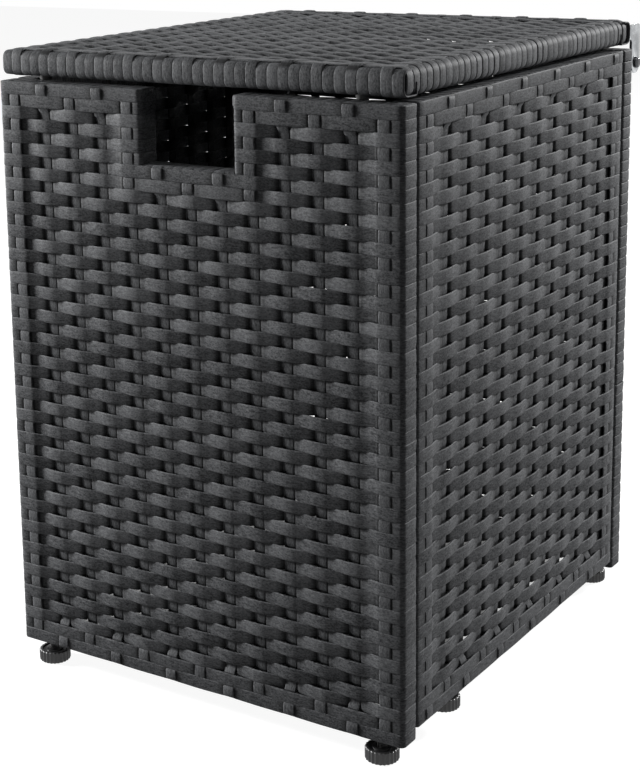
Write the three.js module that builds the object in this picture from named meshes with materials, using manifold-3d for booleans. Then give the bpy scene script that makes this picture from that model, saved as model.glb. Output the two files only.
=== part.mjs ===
// Propane tank cover table: a bottomless woven cabinet of four framed panels
// with a hinged, woven table-top lid. Millimetres, +Z up, front faces -Y.
// Everything is laid out in a measuring frame whose corner is the front left
// of the panels on the floor; the last group moves it to its own origin.

import * as THREE from 'three';
import { mergeVertices } from 'three/addons/utils/BufferGeometryUtils.js';
import Module from 'manifold-3d';

const wasm = await Module();
wasm.setup();

// Overall sizes of the cabinet and the lid
const width = 390;
const depth = 445;
const panelHeight = 509;
const footReveal = 18;
const sideRise = 8;
const sideInset = 1;
const panelSeam = 0.8;
const lidGap = 5;
const lidInset = 3;

// Welded steel frames inside the panels and the lid
const tubeSide = 18;
const tubeWall = 1.2;
const tubeCorner = 3;
const lidTubeSide = 16;
const braceWidth = 16;

// Woven skin: wrapped round the tubes, stretched flat between them
const skin = 2;
const skinGap = 0.25;
const webThickness = 4.5;
const postCorner = 8;
const innerCorner = 3;
const panelEdge = 5;
const bottomCorner = 7;
const lidCorner = 8;
const lidEdge = 9;

// Notch in the front panel for a hand or the gas hose
const notchWidth = 88;
const notchDepth = 61;

// Adjustable feet and the threaded rivets in the bottom rails
const footRadius = 14;
const footHeight = 10.7;
const footChamfer = 1.6;
const fluteDepth = 0.7;
const footRecess = 1.2;
const footPadRadius = 11;
const stemRadius = 3.9;
const stemBossRadius = 7.8;
const stemLength = 18;
const stemLead = 1;
const footSeat = 0.3;
const endFootInset = 26;
const sideFootPlace = 90;
const rivetBore = 4.15;
const rivetRadius = 5.4;
const rivetLength = 12;
const rivetFlangeRadius = 7.5;
const rivetFlange = 1.2;

// Bolts that clamp each side panel to the front and rear posts
const boltRadius = 3;
const boltReach = 12;
const boltHeadRadius = 5.5;
const boltHead = 3.3;
const boltSocket = 1.9;
const socketDepth = 2;
const boltFromTop = 70;
const boltFromBottom = 60;
const cornerNutRadius = 4.2;
const cornerNutLength = 9;
const cornerNutFlangeRadius = 5.6;
const cornerNutFlange = 1;

// Hinges behind the rear panel
const hingeInset = 5;
const plateThickness = 2.5;
const plateSpace = 0.8;
const pivotBack = 18;
const pivotDrop = 16;
const strapHalf = 10;
const strapTop = 36;
const flangeFoot = 22.5;
const flangeReach = 30;
const bossRadius = 7;
const webFootDrop = 9;
const webHeight = 22;
const armLower = 4.5;
const stopHalf = 2.5;
const stopInner = 7.5;
const stopOuter = 9.7;
const stopReach = 3.6;
const pinRadius = 3;
const pinHeadRadius = 5.25;
const pinHead = 3.5;
const pinTail = 1.5;
const pinNutRadius = 5.7;
const pinNut = 5;

// Hinge screws
const screwRadius = 2;
const screwHeadRadius = 3.8;
const screwHead = 2.4;
const screwBite = 5;
const screwFirst = 13;
const screwPitch = 12;
const lidScrewRise = 30;
const backScrewRise = 4.5;

// Rubber bumpers under the lid
const bumperRadius = 6;
const bumperStem = 2;
const bumperStemLength = 5;
const bumperFromSide = 42;

// Clearances
const seat = 0.2;
const boreClearance = 0.3;
const overrun = 2;
const weldGap = 0.0002;

// Facet counts
const arcSteps = 3;
const tubeSteps = 1;
const hingeSteps = 8;
const roundSides = 12;
const fastenerSides = 8;
const fluteCount = 16;
const hexSides = 6;

// Sizes that follow from the ones above
const wrap = skin + skinGap;
const panelThickness = tubeSide + 2 * wrap;
const lidThickness = lidTubeSide + 2 * wrap;
const panelTop = footReveal + panelHeight;
const sideLength = depth - 2 * (panelThickness + panelSeam);
const lidBottom = panelTop + lidGap;
const lidTop = lidBottom + lidThickness;
const postCentre = panelThickness / 2;
const boltLine = sideInset + postCentre;
const pivotY = depth + pivotBack;
const pivotZ = panelTop - pivotDrop;
const hingeRear = pivotBack + strapHalf;
const footReach = footRadius - postCentre;

// Finishes
const finishes = {
  frame: new THREE.MeshStandardMaterial({ color: 0x1d1e20, roughness: 0.45, metalness: 0.35 }),
  weave: new THREE.MeshStandardMaterial({ color: 0x45474a, roughness: 0.6, metalness: 0 }),
  foot: new THREE.MeshStandardMaterial({ color: 0x17181a, roughness: 0.5, metalness: 0 }),
  zinc: new THREE.MeshStandardMaterial({ color: 0xb4b5b6, roughness: 0.35, metalness: 0.9 }),
  bracket: new THREE.MeshStandardMaterial({ color: 0x2a2b2d, roughness: 0.45, metalness: 0.4 }),
  rubber: new THREE.MeshStandardMaterial({ color: 0x101112, roughness: 0.85, metalness: 0 }),
};

// A three.js geometry as a closed solid, and back again
function solid(geometry) {
  const bare = geometry.index ? geometry.toNonIndexed() : geometry.clone();
  bare.deleteAttribute('normal');
  bare.deleteAttribute('uv');
  const merged = mergeVertices(bare, weldGap);
  return new wasm.Manifold(new wasm.Mesh({
    numProp: 3,
    vertProperties: new Float32Array(merged.attributes.position.array),
    triVerts: new Uint32Array(merged.index.array),
  }));
}

function geometryOf(body) {
  const mesh = body.getMesh();
  const geometry = new THREE.BufferGeometry();
  geometry.setAttribute('position', new THREE.BufferAttribute(new Float32Array(mesh.vertProperties), 3));
  geometry.setIndex(new THREE.BufferAttribute(new Uint32Array(mesh.triVerts), 1));
  geometry.computeVertexNormals();
  return geometry;
}

// Matrices that turn an outline drawn in X and Y so that it is swept along an axis
const sweepAxes = {
  x: new THREE.Matrix4().makeBasis(
    new THREE.Vector3(0, 1, 0), new THREE.Vector3(0, 0, 1), new THREE.Vector3(1, 0, 0)),
  y: new THREE.Matrix4().makeBasis(
    new THREE.Vector3(1, 0, 0), new THREE.Vector3(0, 0, 1), new THREE.Vector3(0, -1, 0)),
  z: new THREE.Matrix4(),
};

function sweep(shape, axis, from, to, steps = arcSteps) {
  const geometry = new THREE.ExtrudeGeometry(shape, {
    depth: to - from, bevelEnabled: false, curveSegments: steps,
  });
  geometry.translate(0, 0, axis === 'y' ? -to : from);
  geometry.applyMatrix4(sweepAxes[axis]);
  return solid(geometry);
}

function box(x, y, z) {
  const geometry = new THREE.BoxGeometry(x[1] - x[0], y[1] - y[0], z[1] - z[0]);
  geometry.translate((x[0] + x[1]) / 2, (y[0] + y[1]) / 2, (z[0] + z[1]) / 2);
  return solid(geometry);
}

// A rectangle with a radius on each corner: low-low, high-low, high-high, low-high
function roundedOutline(u, v, radii) {
  const [a, b, c, d] = radii;
  const shape = new THREE.Shape();
  shape.moveTo(u[0] + a, v[0]);
  shape.lineTo(u[1] - b, v[0]);
  shape.absarc(u[1] - b, v[0] + b, b, -Math.PI / 2, 0, false);
  shape.lineTo(u[1], v[1] - c);
  shape.absarc(u[1] - c, v[1] - c, c, 0, Math.PI / 2, false);
  shape.lineTo(u[0] + d, v[1]);
  shape.absarc(u[0] + d, v[1] - d, d, Math.PI / 2, Math.PI, false);
  shape.lineTo(u[0], v[0] + a);
  shape.absarc(u[0] + a, v[0] + a, a, Math.PI, Math.PI * 1.5, false);
  return shape;
}

// A block rounded in plan (X Y), in front view (X Z) and in side view (Y Z)
function roundedBlock(x, y, z, plan, front, side, steps = arcSteps) {
  const inPlan = sweep(roundedOutline(x, y, plan), 'z', z[0], z[1], steps);
  const inFront = sweep(roundedOutline(x, z, front), 'y', y[0], y[1], steps);
  const inSide = sweep(roundedOutline(y, z, side), 'x', x[0], x[1], steps);
  return inPlan.intersect(inFront).intersect(inSide);
}

// A round bar along an axis, from one place to another, centred on the other two
function bar(axis, radius, from, to, first, second, sides = roundSides) {
  const geometry = new THREE.CylinderGeometry(radius, radius, to - from, sides);
  const middle = (from + to) / 2;
  if (axis === 'x') {
    geometry.rotateZ(-Math.PI / 2);
    geometry.translate(middle, first, second);
  }
  if (axis === 'y') {
    geometry.translate(first, middle, second);
  }
  if (axis === 'z') {
    geometry.rotateX(Math.PI / 2);
    geometry.translate(first, second, middle);
  }
  return solid(geometry);
}

function shrink(range, by) {
  return [range[0] + by, range[1] - by];
}

function grow(range, by) {
  return shrink(range, -by);
}

function same(radius) {
  return [radius, radius, radius, radius];
}

const root = new THREE.Group();
const measured = new THREE.Group();
root.add(measured);

function place(parent, name, body, material) {
  const mesh = new THREE.Mesh(geometryOf(body), material);
  mesh.name = name;
  parent.add(mesh);
  return mesh;
}

// One panel, drawn as the front panel is: its outer face at y = 0, its bottom at z = bottom
function panelBodies({ length, bottom, corner, notch, feet, endBolts, backBolts, backScrews }) {
  const x = [0, length];
  const y = [0, panelThickness];
  const z = [bottom, panelTop];
  const notchRange = [(length - notchWidth) / 2, (length + notchWidth) / 2];
  const ledge = panelTop - notchDepth;

  // The notch and the rails round it, spread by a margin
  const notchBlock = (spread) => box(
    grow(notchRange, spread), grow(y, overrun), [ledge - spread, panelTop + overrun]);
  const opening = (inset, across) => {
    const clear = box(shrink(x, inset), across, shrink(z, inset));
    return notch ? clear.subtract(notchBlock(inset)) : clear;
  };
  const ring = (outer, inner, radius) => {
    const across = shrink(y, outer);
    let body = roundedBlock(shrink(x, outer), across, shrink(z, outer),
      same(radius), same(radius), same(radius), tubeSteps);
    if (notch) {
      body = body.subtract(notchBlock(outer));
    }
    return body.subtract(opening(inner, grow(across, overrun)));
  };

  const tubes = ring(wrap, wrap + tubeSide, tubeCorner);
  const bores = ring(wrap + tubeWall, wrap + tubeSide - tubeWall, tubeCorner - tubeWall);
  const pocket = ring(skin, wrap + tubeSide + skinGap, tubeCorner + skinGap);
  let frame = tubes.subtract(bores);

  let weave = roundedBlock(x, y, z,
    [corner, corner, innerCorner, innerCorner],
    [bottomCorner, bottomCorner, panelEdge, panelEdge], same(panelEdge));
  if (notch) {
    weave = weave.subtract(notchBlock(0));
  }
  weave = weave.subtract(opening(panelThickness, [webThickness, panelThickness + overrun]));
  weave = weave.subtract(pocket);

  // Holes for the feet, up through the woven skin and the bottom wall of the rail
  for (const place of feet) {
    const railBottom = bottom + wrap;
    const hole = bar('z', rivetRadius + boreClearance,
      railBottom - overrun, railBottom + tubeWall + overrun, place, postCentre);
    frame = frame.subtract(hole);
    weave = weave.subtract(bar('z', rivetFlangeRadius + boreClearance,
      bottom - overrun, bottom + wrap, place, postCentre));
  }

  // Holes along the panel through its end posts, for the corner bolts
  for (const height of endBolts) {
    const through = (radius) => bar('x', radius, -overrun, length + overrun, postCentre, height);
    const middle = box([panelThickness + overrun, length - panelThickness - overrun], y, z);
    frame = frame.subtract(through(boltRadius + boreClearance));
    weave = weave.subtract(through(boltRadius + boreClearance).subtract(middle));
  }

  // Holes from the inside of the posts, for the threaded rivets that take those bolts
  for (const height of backBolts) {
    for (const across of [boltLine, length - boltLine]) {
      frame = frame.subtract(bar('y', cornerNutRadius + boreClearance,
        panelThickness - wrap - tubeWall - overrun, panelThickness, across, height));
      weave = weave.subtract(bar('y', cornerNutFlangeRadius + boreClearance,
        panelThickness - wrap, panelThickness + overrun, across, height));
    }
  }

  // Pilot holes for the hinge screws, through the outer face into the top rail
  for (const across of backScrews) {
    const pilot = bar('y', screwRadius + boreClearance,
      -overrun, wrap + tubeWall + overrun, across, pivotZ + backScrewRise);
    frame = frame.subtract(pilot);
    weave = weave.subtract(pilot);
  }
  return { frame, weave };
}

const boltHeights = [footReveal + sideRise + boltFromBottom, panelTop - boltFromTop];
const hingeScrewInsets = [0, 1].map((i) => screwFirst + screwPitch * i);
const plateOutside = width / 2 - hingeInset;
const bracketOutside = plateOutside - plateThickness - plateSpace;
const backScrewPlaces = [-1, 1].flatMap(
  (side) => hingeScrewInsets.map((inset) => width / 2 + side * (bracketOutside - inset)));

const panels = [
  {
    name: 'front', at: [0, 0], turn: 0, length: width, bottom: footReveal,
    corner: postCorner, notch: true,
    feet: [endFootInset, width - endFootInset], endBolts: [], backBolts: boltHeights, backScrews: [],
  },
  {
    name: 'right', at: [width - sideInset, panelThickness + panelSeam], turn: 1,
    length: sideLength, bottom: footReveal + sideRise, corner: innerCorner, notch: false,
    feet: [sideFootPlace - panelThickness - panelSeam], endBolts: boltHeights, backBolts: [], backScrews: [],
  },
  {
    name: 'back', at: [width, depth], turn: 2, length: width, bottom: footReveal,
    corner: postCorner, notch: false,
    feet: [endFootInset, width - endFootInset], endBolts: [], backBolts: boltHeights,
    backScrews: backScrewPlaces,
  },
  {
    name: 'left', at: [sideInset, depth - panelThickness - panelSeam], turn: 3,
    length: sideLength, bottom: footReveal + sideRise, corner: innerCorner, notch: false,
    feet: [sideLength - sideFootPlace + panelThickness + panelSeam],
    endBolts: boltHeights, backBolts: [], backScrews: [],
  },
];

for (const panel of panels) {
  const group = new THREE.Group();
  group.position.set(panel.at[0], panel.at[1], 0);
  group.rotation.z = panel.turn * Math.PI / 2;
  const { frame, weave } = panelBodies(panel);
  place(group, `${panel.name}_frame`, frame, finishes.frame);
  place(group, `${panel.name}_weave`, weave, finishes.weave);
  measured.add(group);
}

// The lid: a tube ring with one brace, under a woven top that wraps its edges
const lidX = [lidInset, width - lidInset];
const lidY = [lidInset, depth - lidInset];
const lidZ = [lidBottom, lidTop];
const bumperPlaces = [bumperFromSide, width - bumperFromSide].flatMap(
  (across) => [lidInset + lidThickness / 2, depth - lidInset - lidThickness / 2].map(
    (along) => [across, along]));
const lidScrewPlaces = [-1, 1].flatMap(
  (side) => hingeScrewInsets.map((inset) => width / 2 + side * (plateOutside - inset)));

function lidRing(outer, inner, radius) {
  const across = shrink(lidZ, outer);
  const body = roundedBlock(shrink(lidX, outer), shrink(lidY, outer), across,
    same(radius), same(radius), same(radius), tubeSteps);
  return body.subtract(box(shrink(lidX, inner), shrink(lidY, inner), grow(across, overrun)));
}

function lidBrace(spread) {
  const half = braceWidth / 2 + spread;
  return box([width / 2 - half, width / 2 + half], shrink(lidY, wrap + tubeWall),
    [lidBottom + wrap - spread, lidTop - webThickness - skinGap + spread]);
}

function lidBodies() {
  const tubes = lidRing(wrap, wrap + lidTubeSide, tubeCorner).add(lidBrace(0));
  const bores = lidRing(wrap + tubeWall, wrap + lidTubeSide - tubeWall, tubeCorner - tubeWall)
    .add(lidBrace(-tubeWall));
  const pocket = lidRing(skin, wrap + lidTubeSide + skinGap, tubeCorner + skinGap).add(lidBrace(skinGap));
  let frame = tubes.subtract(bores);
  let weave = roundedBlock(lidX, lidY, lidZ, same(lidCorner), same(lidEdge), same(lidEdge));
  weave = weave.subtract(box(shrink(lidX, lidThickness), shrink(lidY, lidThickness),
    [lidBottom - overrun, lidTop - webThickness]));
  weave = weave.subtract(pocket);
  for (const across of lidScrewPlaces) {
    const rear = depth - lidInset;
    const pilot = bar('y', screwRadius + boreClearance,
      rear - wrap - tubeWall - overrun, rear + overrun, across, pivotZ + lidScrewRise);
    frame = frame.subtract(pilot);
    weave = weave.subtract(pilot);
  }
  for (const [across, along] of bumperPlaces) {
    const pilot = bar('z', bumperStem + boreClearance,
      lidBottom - overrun, lidBottom + wrap + tubeWall + overrun, across, along);
    frame = frame.subtract(pilot);
    weave = weave.subtract(pilot);
  }
  return { frame, weave };
}

const lidSolids = lidBodies();
place(measured, 'lid_frame', lidSolids.frame, finishes.frame);
place(measured, 'lid_weave', lidSolids.weave, finishes.weave);

// A shape turned about Z from radius and height pairs
function turned(points, sides = fastenerSides) {
  const profile = points.map(([radius, height]) => new THREE.Vector2(radius, height));
  const geometry = new THREE.LatheGeometry(profile, sides);
  geometry.rotateX(Math.PI / 2);
  return geometry;
}

// A fluted levelling foot, with its top face at z = 0 and its stem going up
function footBody() {
  const rim = new THREE.Shape();
  for (let i = 0; i < fluteCount * 2; i += 1) {
    const radius = i % 2 === 0 ? footRadius : footRadius - fluteDepth;
    const angle = i * Math.PI / fluteCount;
    const point = [radius * Math.cos(angle), radius * Math.sin(angle)];
    if (i === 0) {
      rim.moveTo(...point);
    } else {
      rim.lineTo(...point);
    }
  }
  const fluted = sweep(rim, 'z', -footHeight, 0);
  const chamfered = solid(turned([
    [0, -footHeight], [footRadius - footChamfer / 2, -footHeight],
    [footRadius + overrun, -footHeight + footChamfer / 2 + overrun],
    [footRadius + overrun, -footChamfer - overrun], [footRadius - footChamfer, 0], [0, 0],
  ]));
  const recess = bar('z', footPadRadius, -footRecess, overrun, 0, 0)
    .subtract(bar('z', stemBossRadius, -footRecess - overrun, overrun + overrun, 0, 0));
  const stem = solid(turned([
    [0, -overrun], [stemRadius, -overrun], [stemRadius, stemLength - stemLead],
    [stemRadius - stemLead, stemLength], [0, stemLength],
  ]));
  return fluted.intersect(chamfered).subtract(recess).add(stem);
}

// A threaded rivet: its flange sits under the rail, its barrel stands up inside
function rivetBody(bore, radius, barrel, flangeRadius, flange) {
  return solid(turned([
    [bore, -flange], [flangeRadius, -flange], [flangeRadius, 0], [radius, 0],
    [radius, barrel], [bore, barrel], [bore, -flange],
  ]));
}

const feet = [
  { name: 'front_left', at: [endFootInset, postCentre], bottom: footReveal, top: footHeight },
  { name: 'front_right', at: [width - endFootInset, postCentre], bottom: footReveal, top: footHeight },
  { name: 'back_left', at: [endFootInset, depth - postCentre], bottom: footReveal, top: footHeight },
  {
    name: 'back_right', at: [width - endFootInset, depth - postCentre],
    bottom: footReveal, top: footHeight,
  },
  {
    name: 'left', at: [boltLine, sideFootPlace],
    bottom: footReveal + sideRise, top: footReveal + sideRise - footSeat,
  },
  {
    name: 'right', at: [width - boltLine, sideFootPlace],
    bottom: footReveal + sideRise, top: footReveal + sideRise - footSeat,
  },
];

for (const foot of feet) {
  const mesh = place(measured, `foot_${foot.name}`, footBody(), finishes.foot);
  mesh.position.set(foot.at[0], foot.at[1], foot.top);
  const rivet = rivetBody(rivetBore, rivetRadius, rivetLength, rivetFlangeRadius, rivetFlange);
  const seated = place(measured, `foot_rivet_${foot.name}`, rivet, finishes.zinc);
  seated.position.set(foot.at[0], foot.at[1], foot.bottom + wrap - seat);
}

// A corner bolt, drawn with its head's underside at z = 0 and its shank going down
function boltBody(shank) {
  const dome = boltHead / 2;
  const body = solid(turned([
    [0, -shank], [boltRadius, -shank], [boltRadius, 0], [boltHeadRadius, 0],
    [boltHeadRadius, dome], [boltHeadRadius - dome, boltHead], [0, boltHead],
  ]));
  return body.subtract(bar('z', boltSocket, boltHead - socketDepth, boltHead + overrun, 0, 0, hexSides));
}

const boltShank = panelThickness + seat + panelSeam + boltReach;
const boltSides = [['left', boltLine], ['right', width - boltLine]];
const boltEnds = [['front', 1], ['back', -1]];
const boltLevels = [['lower', boltHeights[0]], ['upper', boltHeights[1]]];

for (const [sideName, across] of boltSides) {
  for (const [endName, inward] of boltEnds) {
    const postFace = inward > 0 ? panelThickness : depth - panelThickness;
    for (const [levelName, height] of boltLevels) {
      const label = `${endName}_${sideName}_${levelName}`;
      const bolt = place(measured, `corner_bolt_${label}`, boltBody(boltShank), finishes.zinc);
      bolt.rotation.x = -inward * Math.PI / 2;
      bolt.position.set(across, postFace + inward * (panelSeam + panelThickness + seat), height);
      const nut = place(measured, `corner_rivet_${label}`, rivetBody(
        boltRadius + boreClearance, cornerNutRadius, cornerNutLength,
        cornerNutFlangeRadius, cornerNutFlange), finishes.zinc);
      nut.rotation.x = inward * Math.PI / 2;
      nut.position.set(across, postFace - inward * (wrap - seat), height);
    }
  }
}

// Hinge parts are drawn beside the pivot, at distances from the centre line of the cabinet
function acrossRange(side, inner, outer) {
  const middle = width / 2;
  return side > 0 ? [middle + inner, middle + outer] : [middle - outer, middle - inner];
}

// The strap: a flat limb that hangs from the lid to the pivot, with a flange
// screwed to the lid's rear edge and a small bent ear that stops the lid open
function strapBody(side) {
  const limb = new THREE.Shape();
  const lidFace = -pivotBack - lidInset + seat;
  limb.moveTo(-strapHalf, 0);
  limb.absarc(0, 0, strapHalf, Math.PI, Math.PI * 2, false);
  limb.lineTo(strapHalf, strapTop - strapHalf / 2);
  limb.absarc(strapHalf / 2, strapTop - strapHalf / 2, strapHalf / 2, 0, Math.PI / 2, false);
  limb.lineTo(lidFace, strapTop);
  limb.lineTo(lidFace, flangeFoot);
  limb.lineTo(-strapHalf - plateThickness, flangeFoot);
  limb.lineTo(-strapHalf, flangeFoot - plateThickness);
  limb.closePath();
  const plate = acrossRange(side, plateOutside - plateThickness, plateOutside);
  let body = sweep(limb, 'x', plate[0], plate[1], hingeSteps);
  body = body.add(box(acrossRange(side, plateOutside - flangeReach, plateOutside),
    [lidFace, lidFace + plateThickness], [flangeFoot, strapTop]));
  body = body.add(box(acrossRange(side, plateOutside - plateThickness - stopReach, plateOutside),
    [-stopHalf, stopHalf], [-stopOuter, -stopInner]));
  body = body.subtract(bar('x', pinRadius + boreClearance,
    plate[0] - overrun, plate[1] + overrun, 0, 0));
  for (const inset of hingeScrewInsets) {
    body = body.subtract(bar('y', screwRadius + boreClearance, lidFace - overrun,
      lidFace + plateThickness + overrun, width / 2 + side * (plateOutside - inset), lidScrewRise));
  }
  return body;
}

// The bracket: a web on the rear panel and a cheek that carries the pivot pin
function bracketBody(side) {
  const panelFace = -pivotBack + seat;
  const webTop = webHeight - webFootDrop;
  const cheek = new THREE.Shape();
  cheek.moveTo(panelFace, webTop);
  cheek.lineTo(panelFace, armLower);
  cheek.lineTo(-Math.sqrt(bossRadius ** 2 - armLower ** 2), armLower);
  cheek.absarc(0, 0, bossRadius, Math.PI - Math.asin(armLower / bossRadius), Math.PI * 2.5, false);
  cheek.lineTo(-bossRadius / 2, webTop);
  cheek.closePath();
  const plate = acrossRange(side, bracketOutside - plateThickness, bracketOutside);
  let body = sweep(cheek, 'x', plate[0], plate[1], hingeSteps);
  body = body.add(box(acrossRange(side, bracketOutside - flangeReach, bracketOutside),
    [panelFace, panelFace + plateThickness], [-webFootDrop, webTop]));
  body = body.subtract(bar('x', pinRadius + boreClearance, plate[0] - overrun, plate[1] + overrun, 0, 0));
  for (const inset of hingeScrewInsets) {
    body = body.subtract(bar('y', screwRadius + boreClearance, panelFace - overrun,
      panelFace + plateThickness + overrun, width / 2 + side * (bracketOutside - inset), backScrewRise));
  }
  return body;
}

// The pivot bolt runs through the strap and the cheek, with a nut on the inner side
function pinBody(side) {
  const headFrom = plateOutside + seat;
  const tail = bracketOutside - plateThickness - pinNut - pinTail;
  const shank = acrossRange(side, tail, headFrom + seat);
  const head = acrossRange(side, headFrom, headFrom + pinHead);
  return bar('x', pinRadius, shank[0], shank[1], 0, 0)
    .add(bar('x', pinHeadRadius, head[0], head[1], 0, 0));
}

function pinNutBody(side) {
  const outer = bracketOutside - plateThickness - seat;
  const range = acrossRange(side, outer - pinNut, outer);
  return bar('x', pinNutRadius, range[0], range[1], 0, 0, hexSides)
    .subtract(bar('x', pinRadius + boreClearance, range[0] - overrun, range[1] + overrun, 0, 0));
}

// A pan-head screw, drawn with its head's underside at y = 0 and its shank going to -Y
function screwBody(shank) {
  const body = solid(turned([
    [0, -shank], [screwRadius, -shank], [screwRadius, 0], [screwHeadRadius, 0],
    [screwHeadRadius, screwHead / 2], [screwHeadRadius - screwHead / 2, screwHead], [0, screwHead],
  ]));
  return body.subtract(bar('z', screwRadius / 2, screwHead / 2, screwHead + overrun, 0, 0, hexSides));
}

for (const [sideName, side] of [['left', -1], ['right', 1]]) {
  const hinge = new THREE.Group();
  hinge.position.set(0, pivotY, pivotZ);
  measured.add(hinge);
  place(hinge, `hinge_strap_${sideName}`, strapBody(side), finishes.zinc);
  place(hinge, `hinge_bracket_${sideName}`, bracketBody(side), finishes.bracket);
  place(hinge, `hinge_pin_${sideName}`, pinBody(side), finishes.zinc);
  place(hinge, `hinge_nut_${sideName}`, pinNutBody(side), finishes.zinc);
  hingeScrewInsets.forEach((inset, i) => {
    const order = i === 0 ? 'outer' : 'inner';
    const shank = plateThickness + 2 * seat + wrap + tubeWall + screwBite;
    const lidScrew = place(hinge, `lid_screw_${sideName}_${order}`, screwBody(shank), finishes.zinc);
    lidScrew.rotation.x = -Math.PI / 2;
    lidScrew.position.set(width / 2 + side * (plateOutside - inset),
      -pivotBack - lidInset + plateThickness + 2 * seat, lidScrewRise);
    const backScrew = place(hinge, `bracket_screw_${sideName}_${order}`, screwBody(shank), finishes.zinc);
    backScrew.rotation.x = -Math.PI / 2;
    backScrew.position.set(width / 2 + side * (bracketOutside - inset),
      -pivotBack + plateThickness + 2 * seat, backScrewRise);
  });
}

// Rubber bumpers: the lid comes down on them, on the front and rear panels
function bumperBody() {
  const height = lidGap - 2 * seat;
  return solid(turned([
    [0, -height], [bumperRadius - height / 4, -height], [bumperRadius, 0],
    [bumperStem, 0], [bumperStem, bumperStemLength], [0, bumperStemLength],
  ]));
}

bumperPlaces.forEach(([across, along], i) => {
  const name = ['front_left', 'back_left', 'front_right', 'back_right'][i];
  const bumper = place(measured, `lid_bumper_${name}`, bumperBody(), finishes.rubber);
  bumper.position.set(across, along, lidBottom - seat);
});

// The part's origin: on the floor, under the middle of the box round everything
measured.position.set(-width / 2, -(depth + hingeRear - footReach) / 2, 0);

export default root;
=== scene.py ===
# %% [markdown]
# Propane tank cover table.
# The cabinet is four welded tube frames, each woven over with flat resin strand,
# and the lid is a fifth frame woven the same way. This lesson dresses the plain
# solids of that cabinet: the weave is grown strand by strand with Geometry Nodes,
# the hinges and feet are cut as smooth solids, and each material starts from
# what the real one is made of.

# %% Load the frame
import math
from functools import partial
import bmesh
import bpy
from mathutils import Matrix, Vector


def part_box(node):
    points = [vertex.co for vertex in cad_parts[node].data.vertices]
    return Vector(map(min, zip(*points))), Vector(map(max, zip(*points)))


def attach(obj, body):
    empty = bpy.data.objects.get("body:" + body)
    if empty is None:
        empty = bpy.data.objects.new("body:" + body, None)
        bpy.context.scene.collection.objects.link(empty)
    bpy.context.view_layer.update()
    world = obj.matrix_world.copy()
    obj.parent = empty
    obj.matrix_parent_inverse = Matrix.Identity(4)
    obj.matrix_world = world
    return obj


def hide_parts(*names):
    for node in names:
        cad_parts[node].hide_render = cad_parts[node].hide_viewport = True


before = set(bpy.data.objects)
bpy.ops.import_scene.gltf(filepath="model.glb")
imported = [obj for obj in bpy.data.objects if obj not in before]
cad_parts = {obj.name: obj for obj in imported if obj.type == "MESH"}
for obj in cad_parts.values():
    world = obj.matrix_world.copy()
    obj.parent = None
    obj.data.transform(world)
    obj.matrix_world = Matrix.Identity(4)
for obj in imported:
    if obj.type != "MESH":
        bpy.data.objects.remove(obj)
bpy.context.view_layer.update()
MM = 0.001

# %% [markdown]
# The camera stands to the right of the front, a little above the lid, and looks
# slightly down. A pinhole fitted to the corners of the cabinet gives its place,
# its aim and the length of its lens. The picture is a crop of a larger one, so
# the lens is shifted a little, which keeps the upright edges where they are.

# %% Camera
PICTURE_WIDTH = 640
PICTURE_HEIGHT = 770
FOCAL_PIXELS = 1728
CENTRE_PIXELS = (204.5, 231)
CAMERA_PLACE = Vector((790, -1334, 693)) * MM
CAMERA_YAW = math.radians(35.17)
CAMERA_DIP = math.radians(11.64)
CAMERA_ROLL = math.radians(-1.36)


def put(name, data):
    """Makes an object and links it to the scene."""
    made = bpy.data.objects.new(name, data)
    bpy.context.scene.collection.objects.link(made)
    return made


def make_camera():
    data = bpy.data.cameras.new("photo_camera")
    camera = put("photo_camera", data)
    data.sensor_width = 36
    data.lens = FOCAL_PIXELS / PICTURE_HEIGHT * data.sensor_width
    data.shift_x = (PICTURE_WIDTH / 2 - CENTRE_PIXELS[0]) / PICTURE_HEIGHT
    data.shift_y = (CENTRE_PIXELS[1] - PICTURE_HEIGHT / 2) / PICTURE_HEIGHT
    data.clip_start = 0.05
    data.clip_end = 50
    aim = Matrix.Rotation(CAMERA_YAW, 4, "Z")
    aim = aim @ Matrix.Rotation(math.pi / 2 - CAMERA_DIP, 4, "X")
    aim = aim @ Matrix.Rotation(CAMERA_ROLL, 4, "Z")
    camera.matrix_world = Matrix.Translation(CAMERA_PLACE) @ aim
    bpy.context.scene.camera = camera
    return camera


camera = make_camera()
print("lens", round(camera.data.lens, 1), "mm")

# %% [markdown]
# Node trees are long when each node takes five lines. One helper adds a node,
# connects its inputs in order and sets its properties, so a tree reads like a
# formula. Colours are written as sRGB hex values, as on a paint chart, and one
# function turns them into the linear numbers that the renderer works in. Shapes
# that repeat are grown by Geometry Nodes from a small start mesh, then kept as
# plain meshes.

# %% Helpers for node trees, colours and modifiers
FADE = "ShaderNodeMapRange"
BLEND = "ShaderNodeMix"


def add(tree, kind, *inputs, sockets=None, **settings):
    """Adds a node. An input is a value, another node or one of its sockets.

    A kind in capitals is what a Math node does, so a formula is short.
    """
    if kind.isupper():
        kind, settings["operation"] = "ShaderNodeMath", kind
    new = tree.nodes.new(kind)
    for name, value in settings.items():
        setattr(new, name, value)
    wanted = list(zip(new.inputs, inputs))
    wanted += [(new.inputs[name], value) for name, value in (sockets or {}).items()]
    for socket, value in wanted:
        if isinstance(value, bpy.types.Node):
            value = next(out for out in value.outputs if out.enabled)
        if isinstance(value, bpy.types.NodeSocket):
            tree.links.new(value, socket)
        elif value is not None:
            socket.default_value = value
    return new


def linear(hex_colour):
    channels = [int(hex_colour[i:i + 2], 16) / 255 for i in (1, 3, 5)]
    values = [c / 12.92 if c <= 0.04045 else ((c + 0.055) / 1.055) ** 2.4 for c in channels]
    return (*values, 1)


def blank(owner):
    """Empties the tree of a new material or world, and returns what adds nodes to it."""
    owner.use_nodes = True
    owner.node_tree.nodes.clear()
    return partial(add, owner.node_tree)


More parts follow.
